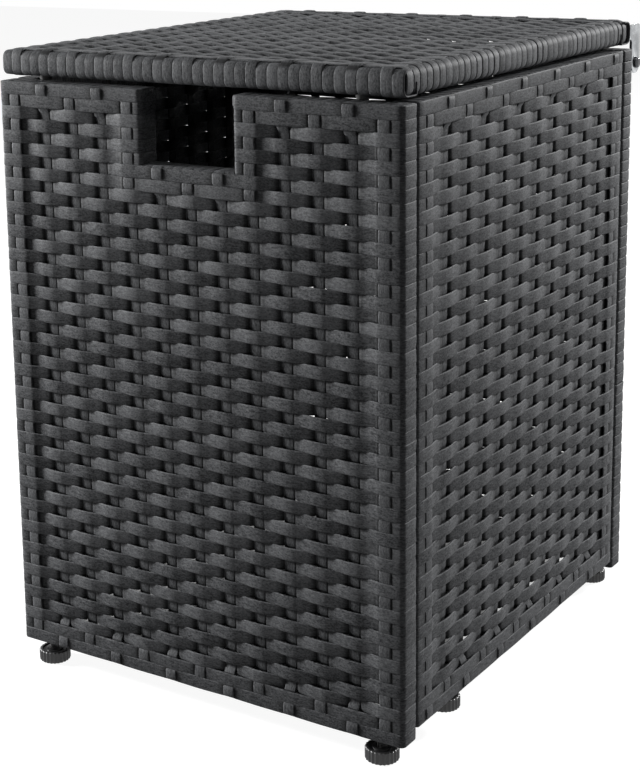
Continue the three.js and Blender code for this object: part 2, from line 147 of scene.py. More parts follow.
def new_tree(name, numbers, results=()):
    """A geometry tree with a float input for each name. A mesh goes in and out unless floats do.

    Returns the tree, what adds nodes to it, and its inputs.
    """
    tree = bpy.data.node_groups.new(name, "GeometryNodeTree")
    if not results:
        tree.interface.new_socket("Geometry", in_out="INPUT", socket_type="NodeSocketGeometry")
        tree.interface.new_socket("Geometry", in_out="OUTPUT", socket_type="NodeSocketGeometry")
        tree.interface.new_socket("Material", in_out="INPUT", socket_type="NodeSocketMaterial")
    for number in numbers:
        tree.interface.new_socket(number, in_out="INPUT", socket_type="NodeSocketFloat")
    for result in results:
        tree.interface.new_socket(result, in_out="OUTPUT", socket_type="NodeSocketFloat")
    node = partial(add, tree)
    return tree, node, node("NodeGroupInput").outputs


def end_tree(node, mesh, material):
    """Ends a tree with smooth shading, real points and the material."""
    mesh = node("GeometryNodeSetShadeSmooth", mesh, sockets={"Shade Smooth": True})
    mesh = node("GeometryNodeRealizeInstances", mesh)
    mesh = node("GeometryNodeSetMaterial", mesh, sockets={"Material": material})
    node("NodeGroupOutput", mesh)


def bake(seed, name):
    """Takes an object away and returns the mesh that its modifiers make of it."""
    graph = bpy.context.evaluated_depsgraph_get()
    mesh = bpy.data.meshes.new_from_object(seed.evaluated_get(graph), depsgraph=graph)
    bpy.data.objects.remove(seed)
    mesh.name = name
    return mesh


def grow(name, start_mesh, tree, values, place=Matrix.Identity(4)):
    """Runs a tree on a start mesh and returns the result as a plain object."""
    seed = put(name + "_seed", start_mesh)
    modifier = seed.modifiers.new("grow", "NODES")
    modifier.node_group = tree
    for item in tree.interface.items_tree:
        if item.item_type == "SOCKET" and item.in_out == "INPUT" and item.name in values:
            modifier[item.identifier] = values[item.name]
    mesh = bake(seed, name)
    mesh.transform(place)
    print(name, "has", sum(len(p.vertices) - 2 for p in mesh.polygons), "triangles")
    return put(name, mesh)


# %% [markdown]
# The strand is extruded polyethylene, about 10 mm wide and a good millimetre
# thick, slightly crowned, with fine drawing lines from the die. It is dyed
# charcoal right through, so wear doesn't show another colour. What shows is the
# grain of the lines, a broader mottle and a small difference from strand to
# strand. They follow each strand round its bends, so the material reads
# attributes that the weave stores: the distance along the strand, the distance
# across it, and the strand's own number. A fourth says how open a place lies.
# The colour is painted darker where one strand goes under another: painted shade in the tucks, set by that
# fourth attribute.

# %% Material of the strand
STRAND_COLOUR = "#67686a"
STRAND_DARK = "#18191b"
# Size of a grain, its finer share along and across the strand, the step from strand
# to strand, and the detail and roughness of the noise. Real drawing lines are finer
# than the picture can show, so they are drawn about four times coarser.
DRAW_LINES = (1.1 * MM, 0.6, 1.0, 7.31, 2.0, 0.6)
MOTTLE = (3 * MM, 0.5, 1.6, 3.17, 3.0, 0.7)
LINES_SHARE = 0.5
MOTTLE_SHARE = 0.45
OWN_SHARE = 0.12
TONE_EDGES = (0.36, 0.72)
# Tone of the painted shade in the tucks, and how open a place is where that shade is full and where it
# ends
TUCK_SHADE_TONE = 0.2
TUCK_SHADE_EDGES = (0.4, 0.64)


def strand_material():
    material = bpy.data.materials.new("extruded_polyethylene_wicker")
    node = blank(material)
    along = node("ShaderNodeAttribute", attribute_name="along").outputs["Fac"]
    across = node("ShaderNodeAttribute", attribute_name="across").outputs["Fac"]
    strand = node("ShaderNodeAttribute", attribute_name="strand").outputs["Fac"]
    unshaded_share = node("ShaderNodeAttribute", attribute_name="unshaded_share").outputs["Fac"]
    noises = []
    for grain, finer_along, finer_across, step, detail, rough in (DRAW_LINES, MOTTLE):
        spot = node("ShaderNodeCombineXYZ",
                    node("MULTIPLY", along, finer_along / grain),
                    node("MULTIPLY", across, finer_across / grain),
                    node("MULTIPLY", strand, step))
        noise = node("ShaderNodeTexNoise", spot,
                     sockets={"Scale": 1.0, "Detail": detail, "Roughness": rough})
        noises.append(noise.outputs[0])
    lines, clouds = noises
    own = node("ShaderNodeTexWhiteNoise", sockets={"W": strand}, noise_dimensions="1D")
    tone = node("MULTIPLY", lines, LINES_SHARE)
    tone = node("MULTIPLY_ADD", clouds, MOTTLE_SHARE, tone)
    tone = node("MULTIPLY_ADD", own.outputs["Value"], OWN_SHARE, tone)
    tone = node(FADE, tone, *TONE_EDGES, 0.0, 1.0)
    colour = node(BLEND, data_type="RGBA", sockets={"Factor": tone})
    colour.inputs[6].default_value = linear(STRAND_DARK)
    colour.inputs[7].default_value = linear(STRAND_COLOUR)
    # Painted shade: the colour is darkened where a strand is tucked under another
    tuck_shade = node(FADE, unshaded_share, *TUCK_SHADE_EDGES, TUCK_SHADE_TONE, 1.0)
    colour = node("ShaderNodeVectorMath", colour.outputs[2], operation="SCALE", sockets={"Scale": tuck_shade})
    bump = node("ShaderNodeBump", sockets={"Strength": 0.35, "Distance": 0.15 * MM, "Height": lines})
    shader = node("ShaderNodeBsdfPrincipled", sockets={
        "Base Color": colour.outputs[0], "Roughness": 0.6, "IOR": 1.51,
        "Specular IOR Level": 0.08, "Normal": bump})
    node("ShaderNodeOutputMaterial", shader)
    return material


STRAND = strand_material()
print("the strand is", STRAND.name)

# %% [markdown]
# Every woven panel has the same build. Stakes stand upright across the field and
# wrap over the rails; rows of strand run across them, over one stake and under
# the next, and wrap round the posts. The next row does the opposite. Because the
# rule is that simple, the rows can be one path, repeated and bent by a formula.
# A tube right behind the weave (a post or a rail) presses the strands flat, so
# the first group works out how far a place is from the nearest edge of the panel,
# and from that how deep the strands lie and how far they swing in and out.

# %% Depth of the weave, shared by rows and stakes
# A level or a middle is how far the middle of a strand lies behind the panel's front
STRAND_WIDTH = 10.45 * MM
ROW_THICK = 1.5 * MM
STAKE_THICK = 1.2 * MM
CROWN = 0.15 * MM
STAKE_CROWN = 0.1 * MM
TUBE_LEVEL = 1.65 * MM
BAND_LEVEL = 0.4 * MM
POST_LEVEL = 1.1 * MM
BACKED_MIDDLE = 1.0 * MM
BACKED_SWING = 0.7 * MM
FIELD_MIDDLE = 3.65 * MM
FIELD_ROW_SWING = 2.75 * MM
FIELD_STAKE_SWING = 0.3 * MM
FIELD_STAKE_SINK = 1.5 * MM
TUBE_REACH = 24 * MM
TUBE_FADE = 4 * MM
NOTCH_FADE = 3 * MM
# The first row beside a rail is a flat band: counted in rows, it ends between these
BAND_EDGES = (0.85, 1.15)
PANEL_SIZES = ["Length", "Low Edge", "High Edge", "Notch Middle", "Notch Half", "Notch Ledge",
               "Row Inset", "Row Pitch", "First Stake", "Stake Pitch"]


def off_notch(node, across, given):
    """How far a place is from the middle of the notch, to either side."""
    off_middle = node("SUBTRACT", across, given["Notch Middle"])
    return node("ABSOLUTE", off_middle)


def depth_group():
    tree, node, given = new_tree("weave_depth", ["Across", "Height"] + PANEL_SIZES,
                                 ["Middle", "Row Swing", "Stake Swing", "Stake Sink"])
    across, height = given["Across"], given["Height"]

    beside_notch = node("SUBTRACT", off_notch(node, across, given), given["Notch Half"])
    under_ledge = node("SUBTRACT", given["Notch Ledge"], height)
    to_notch = node("MAXIMUM", beside_notch, under_ledge)
    to_far_end = node("SUBTRACT", given["Length"], across)
    to_ends = node("MINIMUM", across, to_far_end)
    to_low = node("SUBTRACT", height, given["Low Edge"])
    to_high = node("SUBTRACT", given["High Edge"], height)
    to_rails = node("MINIMUM", to_low, to_high)
    to_edge = node("MINIMUM", to_ends, to_rails)
    to_edge = node("MINIMUM", to_edge, to_notch)
    backed = node(FADE, to_edge, TUBE_REACH - TUBE_FADE, TUBE_REACH + TUBE_FADE, 1.0, 0.0,
                  interpolation_type="SMOOTHSTEP")

    below_notch = node(FADE, beside_notch, -NOTCH_FADE, 0.0, 0.0, 1.0, interpolation_type="SMOOTHSTEP")
    to_ledge = node("MULTIPLY_ADD", below_notch, given["Length"], under_ledge)
    to_rail = node("MINIMUM", to_rails, to_ledge)
    to_rail = node("SUBTRACT", to_rail, given["Row Inset"])
    rows_in = node("DIVIDE", to_rail, given["Row Pitch"])
    band = node(FADE, rows_in, *BAND_EDGES, 1.0, 0.0, interpolation_type="SMOOTHSTEP")

    levels = {}
    for name, field, pressed, banded in [
            ("Middle", FIELD_MIDDLE, BACKED_MIDDLE, BAND_LEVEL),
            ("Row Swing", FIELD_ROW_SWING, BACKED_SWING, 0.0),
            ("Stake Swing", FIELD_STAKE_SWING, BACKED_SWING, TUBE_LEVEL - BAND_LEVEL),
            ("Stake Sink", FIELD_STAKE_SINK, 0.0, 0.0)]:
        level = node(BLEND, backed, None, field, pressed)
        levels[name] = node(BLEND, band, None, level, banded)
    node("NodeGroupOutput", sockets=levels)
    return tree


DEPTH = depth_group()
print("the depth group has", len(DEPTH.nodes), "nodes")

# %% [markdown]
# Both trees sweep the same section along their paths: a circle squeezed to an
# oval whose ends are blunt, as the die gives the strand. Its own place across
# the width is stored before the sweep, and its place along the path too, so the
# drawing lines can follow the strand afterwards.

# %% Sweep of one strand, shared by rows and stakes
SECTION_POINTS = 12
BLUNT = 0.3


def sweep_strands(node, curves, normal, thick, crown, number, width_scale, material):
    along = node("GeometryNodeSplineParameter").outputs["Length"]
    for name, value in (("along", along), ("strand", number)):
        curves = node("GeometryNodeStoreNamedAttribute", curves, sockets={"Name": name, "Value": value})
    curves = node("GeometryNodeSetCurveNormal", curves, sockets={"Normal": normal}, mode="FREE")
    ring = node("GeometryNodeCurvePrimitiveCircle", SECTION_POINTS, sockets={"Radius": 1.0})
    spot = node("ShaderNodeSeparateXYZ", node("GeometryNodeInputPosition"))
    blunt = []
    for way, half in zip(spot.outputs, (STRAND_WIDTH / 2, thick / 2)):
        reach = node("POWER", node("ABSOLUTE", way), BLUNT)
        reach = node("MULTIPLY", reach, node("SIGN", way))
        blunt.append(node("MULTIPLY", reach, half))
    side, rise = blunt
    dome = node("MULTIPLY", spot.outputs[0], spot.outputs[0])
    dome = node("MULTIPLY_ADD", dome, -crown, crown / 2)
    rise = node("ADD", rise, dome)
    ring = node("GeometryNodeSetPosition", ring, None, node("ShaderNodeCombineXYZ", side, rise))
    place = node("ShaderNodeSeparateXYZ", node("GeometryNodeInputPosition")).outputs[0]
    ring = node("GeometryNodeStoreNamedAttribute", ring, sockets={"Name": "across", "Value": place})
    mesh = node("GeometryNodeCurveToMesh", curves, ring, sockets={"Scale": width_scale, "Fill Caps": True})
    end_tree(node, mesh, material)


print("a strand's section has", SECTION_POINTS, "points")

# %% [markdown]
# Both trees also start alike. Each start path says how many copies it wants and
# the number of the first, and a copy knows its own number afterwards. Both ask
# the depth group how deep the weave lies at a place, and both stray a little, by
# a slow noise that is another one for each strand.

# %% Copies of the start paths and their straying, shared by rows and stakes
WANDER_LENGTH = 70 * MM
# The noise stays within a quarter of its middle, so this makes it reach about one
NOISE_REACH = 4
# Each panel numbers its rows in a hundred of its own, and its stakes in one below zero
NUMBERS_PER_PANEL = 100.0


def numbered_copies(node, paths, step):
    """Repeats each path as often as it says. Returns the curves and each one's own number."""
    curves = node("GeometryNodeMeshToCurve", paths)
    wanted, first = [node("ROUND", node("GeometryNodeInputNamedAttribute", name))
                     for name in ("copies", "first")]
    copies = node("GeometryNodeDuplicateElements", curves, None, wanted, domain="SPLINE")
    number = node("MULTIPLY_ADD", copies.outputs["Duplicate Index"], step, first)
    curves = node("GeometryNodeStoreNamedAttribute", copies.outputs["Geometry"],
                  sockets={"Name": "number", "Value": number})
    return curves, node("GeometryNodeInputNamedAttribute", "number")


def depth_at(node, across, height, given):
    sizes = {size: given[size] for size in PANEL_SIZES}
    return node("GeometryNodeGroup", node_tree=DEPTH,
                sockets={"Across": across, "Height": height, **sizes}).outputs


def straying(node, place, number, step, given):
    """Noise that changes slowly along a strand, and by a step from one strand to the next."""
    spot = node("ShaderNodeCombineXYZ", node("DIVIDE", place, WANDER_LENGTH),
                node("MULTIPLY", number, step), given["Seed"])
    return node("ShaderNodeTexNoise", spot, sockets={"Scale": 1.0, "Detail": 1.0}).outputs


def store_unshaded_share(node, curves, tucked, front):
    """Stores 1 where a strand lies open, less where it is tucked, for the painted shade of the tucks.
    Behind a tube it is always 1.
    """
    unshaded_share = node("MULTIPLY_ADD", tucked, front, 1.0)
    return node("GeometryNodeStoreNamedAttribute", curves,
                sockets={"Name": "unshaded_share", "Value": unshaded_share})


print("each path carries its count of copies and the number of the first")

# %% [markdown]
# A row tree repeats the paths down the panel, once for each row. How far a row
# stands out at a place depends on how far that place is from the nearest stake
# that it goes under: it comes up steeply beside that stake, then swells slowly
# to its highest point over the next one. That steep start is the dark slit that
# flat wicker shows beside every stake. Each row also wanders a little.

# %% Tree for the rows
# Half the tuck under a stake, the steep rise beside it, half the crest over the next
# stake, and how much of the rise is steep
TUCK = 5.2 * MM
RISE = 1.4 * MM
CREST_HALF = 4.2 * MM
QUICK_SHARE = 0.42
# How far a row strays up and down and leans, and how much more it leans round a post
ROW_WANDER = 0.35 * MM
ROW_LEAN = math.radians(2)
WRAP_LEAN = 2.5
ROW_STEP = 0.6


def rows_tree():
    tree, node, given = new_tree("woven_rows", PANEL_SIZES + ["Seed", "Widest", "Pinch"])
    curves, row = numbered_copies(node, given["Geometry"], 1.0)
    front = node("GeometryNodeInputNamedAttribute", "front")
    across = node("ShaderNodeSeparateXYZ", node("GeometryNodeInputPosition")).outputs[0]
    down = node("ADD", row, 0.5)
    down = node("MULTIPLY_ADD", down, given["Row Pitch"], given["Row Inset"])
    height = node("SUBTRACT", given["High Edge"], down)

    # Goes from 0 at a stake that this row goes under to 1 at the next stake, and back
    share = across
    for operation, *values in [
            ("SUBTRACT", given["First Stake"]), ("DIVIDE", given["Stake Pitch"]),
            ("SUBTRACT", row), ("SUBTRACT", 1.0), ("MULTIPLY", 0.5), ("FRACT",),
            ("SUBTRACT", 0.5), ("ABSOLUTE",), ("MULTIPLY_ADD", -2.0, 1.0)]:
        share = node(operation, share, *values)
    from_stake = node("MULTIPLY", share, given["Stake Pitch"])
    quick = node(FADE, from_stake, TUCK, TUCK + RISE, 0.0, 1.0, interpolation_type="SMOOTHSTEP")
    crest = node("SUBTRACT", given["Stake Pitch"], CREST_HALF)
    slow = node(FADE, from_stake, TUCK, crest, 0.0, 1.0)
    lift = node(BLEND, QUICK_SHARE, None, slow, quick)
    wave = node("MULTIPLY_ADD", lift, -2.0, 1.0)

    depth = depth_at(node, across, height, given)
    level = node("MULTIPLY_ADD", wave, depth["Row Swing"], depth["Middle"])
    level = node("SUBTRACT", level, POST_LEVEL)
    inward = node("MULTIPLY", level, front)

    drift = straying(node, across, row, ROW_STEP, given)["Color"]
    drift = node("ShaderNodeVectorMath", drift, (0.5, 0.5, 0.5), operation="SUBTRACT")
    drift = node("ShaderNodeSeparateXYZ", drift)
    up = node("MULTIPLY_ADD", drift.outputs[0], NOISE_REACH * ROW_WANDER, height)
    # Painted shade in the tucks follows where this row dips under a stake
    curves = store_unshaded_share(node, curves, node("SUBTRACT", lift, 1.0), front)
    curves = node("GeometryNodeSetPosition", curves,
                  sockets={"Offset": node("ShaderNodeCombineXYZ", 0.0, inward, up)})
    lean = node("MULTIPLY", drift.outputs[1], NOISE_REACH * ROW_LEAN)
    loose = node("MULTIPLY_ADD", front, 1 - WRAP_LEAN, WRAP_LEAN)
    lean = node("MULTIPLY", lean, loose)
    curves = node("GeometryNodeSetCurveTilt", curves, sockets={"Tilt": lean})
    number = node("MULTIPLY_ADD", given["Seed"], NUMBERS_PER_PANEL, row)
    narrowest = node("SUBTRACT", given["Widest"], given["Pinch"])
    width = node("MULTIPLY_ADD", lift, given["Pinch"], narrowest)
    curves = node("GeometryNodeStoreNamedAttribute", curves, sockets={"Name": "breadth", "Value": width})
    breadth = node("GeometryNodeInputNamedAttribute", "breadth")
    sweep_strands(node, curves, (0, 0, 1), ROW_THICK, CROWN, number, breadth, given["Material"])
    return tree


ROWS = rows_tree()
print("the row tree has", len(ROWS.nodes), "nodes")

# %% [markdown]
# A stake tree does the same for the upright strands, and for the short strips
# that wrap a rail between two stakes. A place counts thirds of the stake pitch,
# so the stakes take every third place and the strips take the two between. The
# formula moves a stake outwards where it crosses over a row and inwards where
# the row crosses over it. Over the notch, everything at the top of the panel
# comes down to the ledge.

# %% Tree for the stakes and the rail strips
PLACES_PER_STAKE = 3.0
STAKE_WANDER = 0.4 * MM
STAKE_STEP = 1.7
# How much faster than a plain wave a stake goes from one side of the rows to the other
STAKE_SNAP = 4.0


def stakes_tree():
    tree, node, given = new_tree("woven_stakes", PANEL_SIZES + ["Seed"])
    curves, place = numbered_copies(node, given["Geometry"], PLACES_PER_STAKE)
    front = node("GeometryNodeInputNamedAttribute", "front")
    rise = node("GeometryNodeInputNamedAttribute", "rise")
    stake = node("DIVIDE", place, PLACES_PER_STAKE)
    across = node("MULTIPLY_ADD", stake, given["Stake Pitch"], given["First Stake"])
    in_notch = node("LESS_THAN", off_notch(node, across, given), given["Notch Half"])
    lost = node("SUBTRACT", given["Notch Ledge"], given["High Edge"])
    lost = node("MULTIPLY", lost, in_notch)
    lowered = node("MULTIPLY", lost, rise)
    height = node("ShaderNodeSeparateXYZ", node("GeometryNodeInputPosition")).outputs[2]
    height = node("ADD", height, lowered)

    down = node("SUBTRACT", given["High Edge"], height)
    down = node("SUBTRACT", down, given["Row Inset"])
    rows = node("DIVIDE", down, given["Row Pitch"])
    turn = node("ADD", rows, stake)
    turn = node("MULTIPLY", turn, math.pi)
    wave = node("SINE", turn)
    wave = node(FADE, wave, -1 / STAKE_SNAP, 1 / STAKE_SNAP, -1.0, 1.0)
    depth = depth_at(node, across, height, given)
    level = node("MULTIPLY_ADD", wave, depth["Stake Swing"], depth["Middle"])
    level = node("ADD", level, depth["Stake Sink"])
    level = node("SUBTRACT", level, TUBE_LEVEL)
    inward = node("MULTIPLY", level, front)

    drift = straying(node, height, place, STAKE_STEP, given)
    aside = node("SUBTRACT", drift[0], 0.5)
    aside = node("MULTIPLY_ADD", aside, NOISE_REACH * STAKE_WANDER, across)
    # Painted shade in the tucks follows where this stake dips under a row
    tucked = node("MULTIPLY_ADD", wave, -0.5, -0.5)
    curves = store_unshaded_share(node, curves, tucked, front)
    curves = node("GeometryNodeSetPosition", curves,
                  sockets={"Offset": node("ShaderNodeCombineXYZ", aside, inward, lowered)})
    number = node("MULTIPLY_ADD", given["Seed"], -NUMBERS_PER_PANEL, place)
    sweep_strands(node, curves, (1, 0, 0), STAKE_THICK, -STAKE_CROWN, number, 1.0, given["Material"])
    return tree


STAKES = stakes_tree()
print("the stake tree has", len(STAKES.nodes), "nodes")

# %% [markdown]
# A path is a flat outline with rounded corners: a row starts at the window side
# of one post, goes round that post, crosses the field and goes round the other
# post. A stake does the same with the rails. Where a row crosses the field, its
# path has more points beside every stake, because that is where it bends. The
# number stored as front says how far the weave formula moves a point: fully
# across the field, not at all behind a tube, and more and more round the corner.

# %% Paths with rounded corners
CORNER_STEPS = 4
INNER_RADIUS = 1.8 * MM
# Where a strand ends on the window side, as a share of the panel's thickness. The rows
# end nearer the back, clear of the studs of the feet.
STAKE_TAIL = 0.5
ROW_TAIL = 0.74


def rounded(corners):
    """Points along straight runs joined by arcs. A corner is (u, v, radius)."""
    spots = [Vector(corner[:2]) for corner in corners]
    points = [spots[0]]
    for i in range(1, len(spots) - 1):
        back = (spots[i - 1] - spots[i]).normalized()
        ahead = (spots[i + 1] - spots[i]).normalized()
        half = back.angle(ahead) / 2
        reach = corners[i][2] / math.tan(half)
        centre = spots[i] + (back + ahead).normalized() * corners[i][2] / math.sin(half)
        for step in range(CORNER_STEPS + 1):
            share = math.radians(90) * step / CORNER_STEPS
            arm = (back * (1 - math.sin(share)) + ahead * (1 - math.cos(share))) * reach
            points.append(spots[i] + arm)
    return points + [spots[-1]]


def edge_wrap(thickness, level, edge_radius, tail):
    """Round one tube, from its window side over its back and edge to its front face."""
    far = thickness - level
    corners = [(far, thickness * tail, 0), (far, far, INNER_RADIUS), (level, far, edge_radius - level),
               (level, level, edge_radius - level), (thickness, level, 0)]
    points = rounded(corners)[:-1]
    fronts = [step / CORNER_STEPS for step in range(CORNER_STEPS + 1)]
    return points, [0.0] * (len(points) - len(fronts)) + fronts


def path_mesh(name, lines):
    """One mesh of open polylines. A line is (3-D points, {attribute: a value, or one for each point})."""
    mesh = bpy.data.meshes.new(name)
    points, edges = [], []
    stored = {attribute: [] for attribute in lines[0][1]}
    for line, values in lines:
        edges += [(len(points) + i, len(points) + i + 1) for i in range(len(line) - 1)]
        points += line
        for attribute, value in values.items():
            stored[attribute] += value if isinstance(value, list) else [value] * len(line)
    mesh.from_pydata(points, edges, [])
    for attribute, values in stored.items():
        mesh.attributes.new(attribute, "FLOAT", "POINT").data.foreach_set("value", values)
    return mesh


print("a tube wrap has", len(edge_wrap(22.5 * MM, POST_LEVEL, 8 * MM, ROW_TAIL)[0]), "points")

# %% [markdown]
# Now the panels. The sizes come from the plain solids: each panel is laid out in
# a frame of its own, with X along it, Y into it and Z up, and a matrix puts it
# in its place. The lid is woven the same way, with its back edge as the top rail
# and its upper face as the front, so the same two trees weave it too.

# %% Panel sizes and places
ROW_PITCH = 10.33 * MM
NOTCH_HALF = 44 * MM
NOTCH_DEPTH = 61 * MM
PANEL_ROW_INSET = 1.4 * MM
LID_ROW_INSET = 7.4 * MM
# A panel without a notch has it this many metres away
FAR_OFF = 10.0
# Places of a row's points, in millimetres from the middle of a stake
BESIDE_STAKE = [-9.5, -7.8, -7, -6.4, -5.8, -5.2, -4.2, 0, 4.2, 5.2, 5.8, 6.4, 7, 7.8, 9.5]
STAKE_STEPS_PER_ROW = 4
# How round the strand goes over the edges of each tube
EDGE_RADII = {"panel_post": 4.2 * MM, "side_post": 2.2 * MM, "rail": 3.4 * MM, "lid": 7.5 * MM}
# The lid's strands hang this far below its plain solid
LID_DROP = 2.5 * MM
# Widest strand as a share of its flat width, and how much of that it loses at a tuck.
# The rear panel and the lid are looser: through the notch the rear panel shows
# daylight beside its stakes, and the lid shows dark slits.
BREADTHS = {"front": (1.06, 0.06), "right": (1.09, 0.05), "left": (1.09, 0.05),
            "back": (0.985, 0.1), "lid": (1.03, 0.1)}


def panel(name, node, turn, stakes, first_stake, post, rail, seed):
    """The sizes of one woven panel, read from its plain solid."""
    low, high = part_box(node)
    size = high - low
    if name == "lid":
        columns = [(1, 0, 0), (0, 0, -1), (0, 1, 0)]
        place = Matrix.Translation((low.x, low.y, high.z)) @ Matrix(columns).transposed().to_4x4()
        length, thick, bottom, top = size.x, size.z + LID_DROP, 0.0, size.y
    else:
        corner = {0: (low.x, low.y), 1: (high.x, low.y), 2: (high.x, high.y), 3: (low.x, high.y)}[turn]
        place = Matrix.Translation((*corner, 0)) @ Matrix.Rotation(turn * math.pi / 2, 4, "Z")
        length, thick = (size.x, size.y) if turn % 2 == 0 else (size.y, size.x)
        bottom, top = low.z, high.z
    inset = LID_ROW_INSET if name == "lid" else PANEL_ROW_INSET
    rows = round((top - bottom - 2 * inset) / ROW_PITCH)
    notch = name == "front"
    return {
        "name": name, "place": place, "thick": thick, "rows": rows, "stakes": stakes,
        "post": EDGE_RADII[post], "rail": EDGE_RADII[rail],
        "values": {
            "Length": length, "Low Edge": bottom, "High Edge": top,
            "Notch Middle": length / 2, "Notch Half": NOTCH_HALF if notch else -FAR_OFF,
            "Notch Ledge": top - NOTCH_DEPTH if notch else FAR_OFF,
            "Row Inset": inset, "Row Pitch": (top - bottom - 2 * inset) / rows,
            "First Stake": first_stake, "Stake Pitch": (length - 2 * first_stake) / (stakes - 1),
            "Seed": float(seed), "Widest": BREADTHS[name][0], "Pinch": BREADTHS[name][1],
            "Material": STRAND},
    }


# Name, plain solid, quarter turns, stakes, place of the first stake, posts, rails, seed
PANELS = [
    panel("front", "front_weave", 0, 13, 17.1 * MM, "panel_post", "rail", 1),
    panel("right", "right_weave", 1, 12, 19 * MM, "side_post", "rail", 2),
    panel("back", "back_weave", 2, 13, 17.1 * MM, "panel_post", "rail", 3),
    panel("left", "left_weave", 3, 12, 19 * MM, "side_post", "rail", 4),
    panel("lid", "lid_weave", 0, 13, 14.4 * MM, "lid", "lid", 5),
]
for each in PANELS:
    print(each["name"], each["rows"], "rows,", round(each["values"]["Row Pitch"] / MM, 2), "mm apart")

# %% [markdown]
# The notch cuts six rows short: on each side of it those rows go round a notch
# post instead of crossing. The stakes below it stop at the ledge, which the tree
# sees to. Everything else is one path for all rows and one for all stakes.

# %% Weave the five panels
NOTCH_ROWS = 6
NOTCH_POST_RADIUS = 4 * MM
STRIP_TAIL = 6 * MM


def row_line(each, start, end, radii, first_row, rows):
    values = each["values"]
    ends = [edge_wrap(each["thick"], POST_LEVEL, radius, ROW_TAIL) for radius in radii]
    line = [(start + p.x, p.y, 0) for p in ends[0][0]]
    fronts = list(ends[0][1])
    last = end - ends[1][0][-1].x
    for stake in range(each["stakes"]):
        middle = values["First Stake"] + stake * values["Stake Pitch"]
        for offset in BESIDE_STAKE:
            across = middle + offset * MM
            if line[-1][0] + MM < across < last - MM:
                line.append((across, POST_LEVEL, 0))
                fronts.append(1.0)
    line += [(end - p.x, p.y, 0) for p in reversed(ends[1][0])]
    fronts += reversed(ends[1][1])
    return line, {"front": fronts, "first": float(first_row), "copies": float(rows)}


def row_lines(each):
    length, post = each["values"]["Length"], each["post"]
    if each["values"]["Notch Half"] < 0:
        return [row_line(each, 0, length, (post, post), 0, each["rows"])]
    near, far = length / 2 - NOTCH_HALF, length / 2 + NOTCH_HALF
    return [
        row_line(each, 0, length, (post, post), NOTCH_ROWS, each["rows"] - NOTCH_ROWS),
        row_line(each, 0, near, (post, NOTCH_POST_RADIUS), 0, NOTCH_ROWS),
        row_line(each, far, length, (NOTCH_POST_RADIUS, post), 0, NOTCH_ROWS)]


def stake_lines(each):
    values = each["values"]
    bottom, top = values["Low Edge"], values["High Edge"]
    wrap, fronts = edge_wrap(each["thick"], TUBE_LEVEL, each["rail"], STAKE_TAIL)
    low_part = [(0, p.y, bottom + p.x) for p in wrap]
    high_part = [(0, p.y, top - p.x) for p in reversed(wrap)]
    start, end = low_part[-1][2], high_part[0][2]
    steps = round((end - start) / values["Row Pitch"] * STAKE_STEPS_PER_ROW)
    run = [(0, TUBE_LEVEL, start + (end - start) * i / steps) for i in range(1, steps)]
    rises = [0.0] * len(wrap) + [i / steps for i in range(1, steps)] + [1.0] * len(wrap)
    stake = (low_part + run + high_part, {
        "front": fronts + [1.0] * len(run) + fronts[::-1], "rise": rises,
        "first": 0.0, "copies": float(each["stakes"])})
    lines = [stake]
    for first in (-1.0, 1.0):
        for strip, rise in [(low_part + [(0, TUBE_LEVEL, start + STRIP_TAIL)], 0.0),
                            ([(0, TUBE_LEVEL, end - STRIP_TAIL)] + high_part, 1.0)]:
            lines.append((strip, {"front": 0.0, "rise": rise, "first": first,
                                  "copies": float(each["stakes"])}))
    return lines


for each in PANELS:
    name = each["name"]
    for kind, lines, tree in (("row", row_lines, ROWS), ("stake", stake_lines, STAKES)):
        paths = path_mesh(f"{name}_{kind}_paths", lines(each))
        piece = grow(f"{name}_{kind}s", paths, tree, each["values"], each["place"])
        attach(piece, "lid" if name == "lid" else "cabinet")
        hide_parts(name + "_weave")

# %% [markdown]
# Everything that is turned or moulded round comes from one tree: feet, bolts,
# screws, threaded rivets and bumpers. A short outline of radius and height is
# swung round an axis by bending a flat grid. Two marks on the outline say where
# the wall is fluted, like the grip of a foot or the drive of a screw, and where a
# thread is cut. The thread is a true helix, because its groove moves along with
# the angle.

# %% Tree for turned parts
SEAM_GAP = 0.005 * MM


